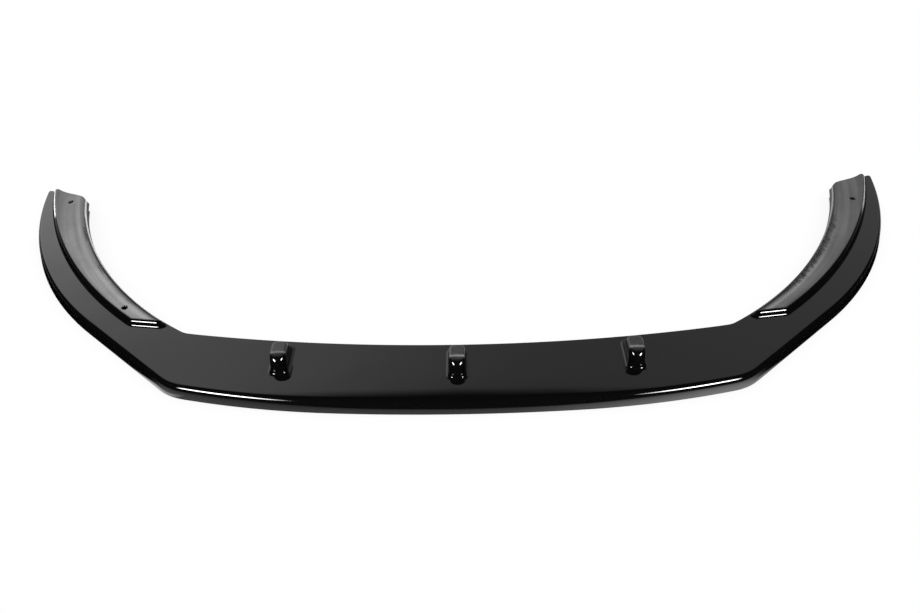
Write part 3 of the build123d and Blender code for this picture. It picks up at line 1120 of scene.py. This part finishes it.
# Ranges of the noise that count as clouds, handling marks and streaks
CLOUD_SPAN, MARK_SPAN, STREAK_SPAN = (0.35, 0.65), (0.62, 0.74), (0.3, 0.7)
# How far they change the bloom, the grey and the roughness of the gloss black skin
CLOUD_BLOOM, STREAK_BLOOM = (0.84, 1.0), (0.76, 1.14)
MARK_DUST, MARK_ROUGH, CLOUD_ROUGH = 0.011, 0.035, 0.02
DULL_BLOOM = 0.0, 0.27
SKIN_GLOSS, WALL_GLOSS, CUT_GLOSS = 0.5, 0.06, 0.10
WAVE_DEPTH, RIPPLE_DEPTH = 0.0011, 0.0005
# Ripples of the right pad, in metres along and inside its trimmed edge, and the painted shade in their
# troughs
RIPPLE_PITCH, RIPPLE_SLANT, RIPPLE_JITTER = 0.0070, 0.35, 0.030
RIPPLE_SPAN, RIPPLE_SHADE = (-0.8, 0.5), (0.8, 0.0)
CROSS_SPAN, CROSS_WAVES, EVEN_WAVES = (0.34, 0.66), (-0.8, 0.8), 0.5
RIPPLE_GAP, RIPPLE_GAP_END = (0.002, 0.005), (0.011, 0.019)
RIPPLE_RUN, RIPPLE_RUN_END = (1.35, 1.44), (1.63, 1.69)
# Underside and sawn edges
UNDER_PALER, UNDER_ROUGH, CUT_ROUGH = 2.2, (0.42, 0.55), (0.45, 0.65)
WHOLE = 0.0, 1.0


def formed_sheet_group():
    """What forming leaves in the sheet: slow waves, fine orange peel, cloudy mottling and handling marks."""
    tree = bpy.data.node_groups.new("formed_sheet", "ShaderNodeTree")
    for name in ("Wave size", "Wave depth", "Peel size", "Peel depth"):
        tree.interface.new_socket(name, in_out="INPUT", socket_type="NodeSocketFloat")
    tree.interface.new_socket("Place", in_out="INPUT", socket_type="NodeSocketVector")
    for name in ("Height", "Clouds", "Marks"):
        tree.interface.new_socket(name, in_out="OUTPUT", socket_type="NodeSocketFloat")
    sheet = NodeSheet(tree)
    given = tree.nodes.new("NodeGroupInput").outputs
    result = tree.nodes.new("NodeGroupOutput").inputs
    place = given["Place"]
    drawn = sheet.stretch(place, scale=(1.0, 14.0, 1.0), turn=0.5)
    wave = sheet.noise(place, given["Wave size"], detail=1.5, roughness=0.4)
    peel = sheet.noise(place, given["Peel size"], detail=1.0)
    clouds = sheet.noise(place, scale=14.0, detail=4.0, roughness=0.6)
    lines = sheet.noise(drawn, scale=38.0, detail=6.0, roughness=0.75)
    height = sheet.plus(sheet.times(wave, given["Wave depth"]), sheet.times(peel, given["Peel depth"]))
    sheet.feed(result["Height"], height)
    sheet.feed(result["Clouds"], sheet.rise(clouds, CLOUD_SPAN))
    sheet.feed(result["Marks"], sheet.rise(lines, MARK_SPAN))
    return tree


def new_material(name):
    """A material with an empty Principled shader, and the sheet to add nodes to."""
    material = bpy.data.materials.new(name)
    material.use_nodes = True
    sheet = NodeSheet(material.node_tree)
    shader = material.node_tree.nodes["Principled BSDF"]
    shader.inputs["IOR"].default_value = 1.5
    return material, sheet, shader


def sheet_effects(sheet, group, **values):
    """The formed-sheet group in a material, reading the piece's own place."""
    place = sheet.node("TexCoord").outputs["Object"]
    effects = sheet.node("Group", node_tree=group)
    sheet.feed(effects.inputs["Place"], place)
    for name, value in values.items():
        effects.inputs[name.replace("_", " ")].default_value = value
    return effects.outputs


def gloss_black(group, finish):
    """Polished black skin, dulled by bloom on the pads and lids that also holds painted shade and painted
    highlights, with painted highlight lines, and ripples with painted shade in their troughs along the right
    pad's edge.
    """
    material, sheet, shader = new_material("gloss_black_skin")
    effects = sheet_effects(sheet, group, Wave_size=7.0, Wave_depth=1.0, Peel_size=420.0, Peel_depth=0.012)
    clouds, marks = effects["Clouds"], effects["Marks"]
    pad = sheet.mark("bloom_and_painted_light")
    waves, reach = right_pad_ripples(sheet)
    # Painted shade: the bloom thins in the ripples' troughs
    ripple_shade = sheet.less(1.0, sheet.times(reach, sheet.between(waves, RIPPLE_SPAN, RIPPLE_SHADE)))
    bloom_and_painted_light = sheet.times(pad, sheet.between(clouds, WHOLE, CLOUD_BLOOM), bloom_streaks(sheet), ripple_shade)
    share = sheet.math("ADD", bloom_and_painted_light, sheet.times(marks, MARK_DUST), clamp=True)
    skin = sheet.blend(share, rgba(finish.black), rgba(finish.haze))
    dulled = sheet.between(pad, DULL_BLOOM, (finish.gloss, finish.dull), smooth=False)
    rough = sheet.plus(dulled, sheet.times(marks, MARK_ROUGH), sheet.times(clouds, CLOUD_ROUGH))
    # Painted highlight lines go into the base colour here
    sheet.feed(shader.inputs["Base Color"], sheet.blend(sheet.mark("painted_highlight"), skin, rgba(finish.painted_highlight)))
    sheet.feed(shader.inputs["Roughness"], rough)
    sheet.feed(shader.inputs["Specular IOR Level"],
               sheet.between(sheet.mark("wall"), WHOLE, (SKIN_GLOSS, WALL_GLOSS)))
    wavy = sheet.bump(shader, effects["Height"], 1.0, WAVE_DEPTH)
    sheet.bump(shader, sheet.times(waves, reach), 1.0, RIPPLE_DEPTH, under=wavy)
    return material


def bloom_streaks(sheet):
    """Long faint streaks in the bloom that follow the trimmed edge: noise stretched along the run."""
    uv = sheet.node("UVMap", uv_map="along_trim").outputs[0]
    streaks = sheet.noise(sheet.stretch(uv, scale=(4.0, 90.0, 1.0)), scale=1.0, detail=3.0)
    return sheet.between(streaks, STREAK_SPAN, STREAK_BLOOM)


def right_pad_ripples(sheet):
    """Short wrinkles square to the right pad's trimmed edge: a sine along the edge, and where they show."""
    uv = sheet.node("UVMap", uv_map="along_trim").outputs[0]
    run, gap = sheet.node("SeparateXYZ", {0: uv}).outputs[:2]
    jitter = sheet.times(sheet.noise(uv, scale=45.0, detail=1.0), RIPPLE_JITTER)
    phase = sheet.plus(run, sheet.times(gap, RIPPLE_SLANT), jitter)
    even = sheet.math("SINE", sheet.times(phase, 2 * pi / RIPPLE_PITCH), 0.0)
    drawn = sheet.stretch(uv, scale=(190.0, 60.0, 1.0), turn=0.2)
    crossed = sheet.noise(drawn, scale=1.0, detail=2.0)
    waves = sheet.plus(sheet.times(even, EVEN_WAVES), sheet.between(crossed, CROSS_SPAN, CROSS_WAVES))
    near = sheet.times(sheet.rise(gap, RIPPLE_GAP), sheet.fall(gap, RIPPLE_GAP_END))
    along = sheet.times(sheet.rise(run, RIPPLE_RUN), sheet.fall(run, RIPPLE_RUN_END))
    return waves, sheet.times(near, along)


def matt_underside(group, finish):
    """The underside of the sheet as it left the oven: dull, finely grained black."""
    material, sheet, shader = new_material("matt_black_underside")
    effects = sheet_effects(sheet, group, Wave_size=16.0, Wave_depth=0.3, Peel_size=900.0, Peel_depth=0.3)
    clouds, paler = effects["Clouds"], [UNDER_PALER * c for c in finish.black]
    sheet.feed(shader.inputs["Base Color"], sheet.blend(clouds, rgba(finish.black), rgba(paler)))
    sheet.feed(shader.inputs["Roughness"], sheet.between(clouds, WHOLE, UNDER_ROUGH))
    sheet.bump(shader, effects["Height"], strength=0.6, distance=0.0006)
    return material


def sawn_edge(group, finish):
    """Sawn edges: dark and dull, with fine saw lines."""
    material, sheet, shader = new_material("sawn_black_edge")
    effects = sheet_effects(sheet, group, Wave_size=60.0, Wave_depth=0.4, Peel_size=1500.0, Peel_depth=0.5)
    clouds = effects["Clouds"]
    sheet.feed(shader.inputs["Base Color"], sheet.blend(clouds, rgba(finish.black), rgba(finish.cut)))
    sheet.feed(shader.inputs["Roughness"], sheet.between(effects["Marks"], WHOLE, CUT_ROUGH))
    shader.inputs["Specular IOR Level"].default_value = CUT_GLOSS
    sheet.bump(shader, effects["Height"], strength=0.5, distance=0.0003)
    return material


# Floor as it is lit
FLOOR_ROUGH, FLOOR_SPAN, FLOOR_TONE = 0.9, (0.3, 0.7), (0.985, 1.0)
# Painted glow of the floor before the lip, which only glossy faces see, in metres and brightness
FRONT_GLOW_BOW = 0.2
FRONT_GLOW_FADE, FRONT_GLOW_BACK, FRONT_GLOW_ENDS = (0.002, 0.050), (-0.03, 0.0), (0.46, 0.54)
FRONT_GLOW_ACROSS, FRONT_GLOW = (0.05, 0.42), (0.85, 3.2)
RIGHT_END, RIGHT_GLOW = (0.44, 0.52), (1.0, 0.35)
# Painted glowing strips along the flanks
FLANK_START, STRIP_START = (0.466, -0.2745), (0.44, 0.47)
STRIP_NARROWS, STRIP_WIDTHS = (0.46, 0.56), (0.014, 0.0028)
STRIP_FADE, STRIP_BACK = (0.2, 1.0), (-0.03, -0.002)
STRIP_RUN, STRIP_GLOW = (0.50, 0.66), (3.2, 0.0)
# Bay and floor behind
BAY_CENTRE, BAY_FADE, REAR_FADE = (0.0887, 0.472), (0.655, 0.705), (0.12, 0.30)
# Shadow that the camera sees, by how open the floor is to the sky
SKY_REACH, SKY_SAMPLES = 0.12, 12
CONTACT_SKY, CONTACT_TONE = (0.5, 0.95), (0.94, 1.0)
UNDER_SKY, UNDER_SHADE = (0.36, 0.50), (0.97, 0.0)
LIT_RUN, LIT_REACH, LIT_FADE = (-0.02, 0.15), (0.733, 0.750), (0.0, 0.006)
COVER_FADE, COVER_TRIM, COVER_SHADE = (0.0, 0.004), (0.004, 0.007), (0.0, 0.97)


def painted_floor_glow(sheet, x, y, beside, bay_reach, sizes):
    """Painted glow of the floor that only glossy faces see: pale, and brighter than white in places, before
    the lip and along its flanks, white inside the bay and behind, dark elsewhere.
    """
    ahead = sheet.less(sheet.times(x, x, FRONT_GLOW_BOW), sheet.plus(y, sizes.depth / 2))
    front = sheet.times(sheet.fall(ahead, FRONT_GLOW_FADE), sheet.fall(beside, FRONT_GLOW_ENDS),
                        sheet.rise(ahead, FRONT_GLOW_BACK), sheet.between(x, FRONT_GLOW_ACROSS, FRONT_GLOW))
    out = sheet.less(sheet.times(sheet.less(beside, FLANK_START[0]), sin(sizes.flank_angle)),
                     sheet.times(sheet.less(y, FLANK_START[1]), cos(sizes.flank_angle)))
    width = sheet.between(beside, STRIP_NARROWS, STRIP_WIDTHS)
    strip = sheet.times(sheet.fall(sheet.math("DIVIDE", out, width), STRIP_FADE), sheet.rise(out, STRIP_BACK),
                        sheet.between(beside, STRIP_RUN, STRIP_GLOW), sheet.rise(beside, STRIP_START))
    front = sheet.times(sheet.most(front, strip), sheet.between(x, RIGHT_END, RIGHT_GLOW))
    return sheet.most(front, sheet.fall(bay_reach, BAY_FADE), sheet.rise(y, REAR_FADE))


def floor_shadow(sheet, y, beside, bay_reach, sizes, plan):
    """How bright the camera sees the floor: white, but for a faint contact shadow, a deep one under the lip
    past the lit edge of the bay, and the floor that the wings cover."""
    half = sizes.depth / 2
    sky = sheet.node("AmbientOcclusion", {"Distance": SKY_REACH}, samples=SKY_SAMPLES).outputs["AO"]
    past_lit = sheet.less(bay_reach, sheet.between(y, LIT_RUN, LIT_REACH))
    under = sheet.times(sheet.between(sky, UNDER_SKY, UNDER_SHADE), sheet.rise(past_lit, LIT_FADE))
    in_step = sheet.less(plan.step.radius, sheet.reach(beside, y, plan.step.centre - (0, half)))
    before_end = sheet.plus(sheet.times(sheet.less(beside, plan.tip[0]), plan.end_in[0]),
                            sheet.times(sheet.less(y, plan.tip[1] - half), plan.end_in[1]))
    past_trim = sheet.less(bay_reach, plan.wing_trim.radius)
    covered = sheet.times(sheet.rise(in_step, COVER_FADE), sheet.rise(before_end, COVER_FADE),
                          sheet.between(past_trim, COVER_TRIM, COVER_SHADE))
    return sheet.less(sheet.between(sky, CONTACT_SKY, CONTACT_TONE), sheet.most(under, covered))


def pale_floor(look, sizes):
    """A pale floor: white to the camera, but for the lip's shadow. Glossy faces see a painted glow instead,
    pale in front of the lip and dark beside it."""
    material, sheet, shader = new_material("pale_floor")
    shader.inputs["Roughness"].default_value = FLOOR_ROUGH
    shader.inputs["Specular IOR Level"].default_value = 0.0
    place = sheet.node("TexCoord").outputs["Object"]
    tone = sheet.between(sheet.noise(place, scale=3.0, detail=3.0), FLOOR_SPAN, FLOOR_TONE)
    shade = sheet.node("VectorMath", {0: look.floor, "Scale": tone}, operation="SCALE").outputs[0]
    sheet.feed(shader.inputs["Base Color"], shade)
    x, y = sheet.node("SeparateXYZ", {0: place}).outputs[:2]
    beside = sheet.math("ABSOLUTE", x, 0.0)
    bay_reach = sheet.reach(beside, y, BAY_CENTRE)
    light = sheet.node("LightPath").outputs
    mirrored = light["Is Glossy Ray"]
    shadow = floor_shadow(sheet, y, beside, bay_reach, sizes, LipPlan(sizes))
    strength = sheet.blend(mirrored, shadow, painted_floor_glow(sheet, x, y, beside, bay_reach, sizes), "FLOAT")
    glow = sheet.node("Emission", {"Color": (1, 1, 1, 1), "Strength": strength}).outputs[0]
    seen = sheet.most(light["Is Camera Ray"], mirrored)
    mixed = sheet.node("MixShader", {0: seen, 1: shader.outputs[0], 2: glow}).outputs[0]
    sheet.feed(material.node_tree.nodes["Material Output"].inputs["Surface"], mixed)
    return material


# Backdrop behind the lip, by the direction in which a face reflects it
BACKDROP_SIDES, BACKDROP_TOP = (0.50, 0.70), (0.70, 0.86)
BACKDROP_FOOT, FOOT_GLOW = (0.10, 0.34), (0.12, 1.0)
BACKDROP_ACROSS, ACROSS_GLOW = (-0.42, 0.16), (1.10, 0.49)
LOW_LEFT_UP, LOW_LEFT_GLOW, LOW_LEFT_SIDE = (0.46, 0.66), (0.62, 0.0), (-0.5, -0.2)
ROOM_GLOW, EVEN_LIGHT = 0.0005, 0.75


def studio_world():
    """A white surround for the camera and an even light on dull surfaces. In reflections it is a pale
    backdrop behind the lip that is brighter on the left and low down, and fades to a dark room above and at
    the sides."""
    world = bpy.data.worlds.new("studio")
    world.use_nodes = True
    sheet = NodeSheet(world.node_tree)
    shader = world.node_tree.nodes["Background"]
    x, y, z = sheet.node("SeparateXYZ", {0: sheet.node("TexCoord").outputs["Generated"]}).outputs
    behind = sheet.rise(sheet.math("DIVIDE", y, sheet.reach(x, y)), BACKDROP_SIDES)
    low_left = sheet.times(sheet.between(z, LOW_LEFT_UP, LOW_LEFT_GLOW), sheet.fall(x, LOW_LEFT_SIDE))
    glow = sheet.times(behind, sheet.fall(z, BACKDROP_TOP), sheet.between(z, BACKDROP_FOOT, FOOT_GLOW),
                       sheet.plus(sheet.between(x, BACKDROP_ACROSS, ACROSS_GLOW), low_left))
    light = sheet.node("LightPath").outputs
    lit = sheet.blend(light["Is Diffuse Ray"], sheet.plus(glow, ROOM_GLOW), EVEN_LIGHT, "FLOAT")
    grey = sheet.most(lit, light["Is Camera Ray"])
    sheet.feed(shader.inputs["Color"], sheet.node("CombineXYZ", {0: grey, 1: grey, 2: grey}).outputs[0])
    return world


def soft_box(name, side, look):
    """A rectangular lamp on one side, facing its aim, with a grid that keeps its light to a cone."""
    light = bpy.data.lights.new(name, "AREA")
    light.shape = "RECTANGLE"
    light.size, light.size_y = look.lamp_width, look.lamp_height
    light.energy = look.lamp_power
    light.spread = look.lamp_spread
    across = Vector((side, 1, 1))
    lamp = bpy.data.objects.new(name, light)
    lamp.location = look.lamp_place * across
    lamp.rotation_euler = ((look.lamp_aim - look.lamp_place) * across).to_track_quat("-Z", "Y").to_euler()
    lamp.visible_camera = False
    bpy.context.scene.collection.objects.link(lamp)


def stage_camera(look):
    """The camera on its orbit about the target, rolled about its line of sight."""
    data = bpy.data.cameras.new("camera")
    data.lens = look.lens
    data.sensor_width = 36
    data.sensor_fit = "HORIZONTAL"
    data.clip_start = 0.01
    camera = bpy.data.objects.new("camera", data)
    level = Vector((cos(look.azimuth), sin(look.azimuth), 0))
    back = Vector((level.y, -level.x, 0)) * cos(look.elevation) + Vector((0, 0, sin(look.elevation)))
    up = back.cross(level)
    right = level * cos(look.roll) + up * sin(look.roll)
    up = back.cross(right)
    turn = Matrix((right, up, back)).transposed().to_4x4()
    turn.translation = Vector(look.target) + back * look.distance
    camera.matrix_world = turn
    bpy.context.scene.collection.objects.link(camera)
    bpy.context.scene.camera = camera


class LIP_OT_form_lip(bpy.types.Operator):
    """Form the lip: one closed sheet with its skirt, pads, towers and screw holes"""
    bl_idname = "lip.form_lip"
    bl_label = "Form the lip"

    def execute(self, context):
        scene = context.scene
        group = formed_sheet_group()
        data = LipBuilder(scene.lip_sizes).build("formed_lip")
        for make in (gloss_black, matt_underside, sawn_edge):
            data.materials.append(make(group, scene.lip_finish))
        lip = bpy.data.objects.new("formed_lip", data)
        scene.collection.objects.link(lip)
        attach(lip, "root")
        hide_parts(NODE)
        return {"FINISHED"}


class LIP_OT_set_stage(bpy.types.Operator):
    """Set the stage: pale floor, studio light and the camera"""
    bl_idname = "lip.set_stage"
    bl_label = "Set the stage"

    def execute(self, context):
        scene = context.scene
        look = scene.lip_stage
        data = bpy.data.meshes.new("floor")
        corners = np.array(((-1, -1), (1, -1), (1, 1), (-1, 1))) * look.floor_reach
        data.from_pydata([(x, y, -look.floor_drop) for x, y in corners], [], [(0, 1, 2, 3)])
        data.materials.append(pale_floor(look, scene.lip_sizes))
        floor = bpy.data.objects.new("floor", data)
        scene.collection.objects.link(floor)
        scene.world = studio_world()
        soft_box("front_box_left", -1, look)
        soft_box("front_box_right", 1, look)
        stage_camera(look)
        scene.view_settings.view_transform = "Standard"
        return {"FINISHED"}


class LIP_PT_panel(bpy.types.Panel):
    """Sizes, finish and stage of the splitter lip"""
    bl_idname = "LIP_PT_panel"
    bl_label = "Splitter lip"
    bl_space_type = "VIEW_3D"
    bl_region_type = "UI"
    bl_category = "Splitter lip"

    def draw(self, context):
        layout = self.layout
        layout.operator(LIP_OT_form_lip.bl_idname)
        layout.operator(LIP_OT_set_stage.bl_idname)
        for group in (context.scene.lip_sizes, context.scene.lip_finish, context.scene.lip_stage):
            box = layout.box()
            for name in group.bl_rna.properties.keys():
                if name not in ("rna_type", "name"):
                    box.prop(group, name, text=name.replace("_", " ").capitalize())


CLASSES = (LipSizes, LipFinish, StageLook, LIP_OT_form_lip, LIP_OT_set_stage, LIP_PT_panel)


def register():
    """Register the classes and hang their settings on the scene."""
    for made in CLASSES:
        bpy.utils.register_class(made)
    bpy.types.Scene.lip_sizes = PointerProperty(type=LipSizes)
    bpy.types.Scene.lip_finish = PointerProperty(type=LipFinish)
    bpy.types.Scene.lip_stage = PointerProperty(type=StageLook)


def unregister():
    """Take them off again."""
    for name in ("lip_stage", "lip_finish", "lip_sizes"):
        delattr(bpy.types.Scene, name)
    for made in reversed(CLASSES):
        bpy.utils.unregister_class(made)


def main():
    """Build the lip and its stage."""
    register()
    bpy.ops.lip.form_lip()
    bpy.ops.lip.set_stage()


if __name__ == "__main__":
    main()
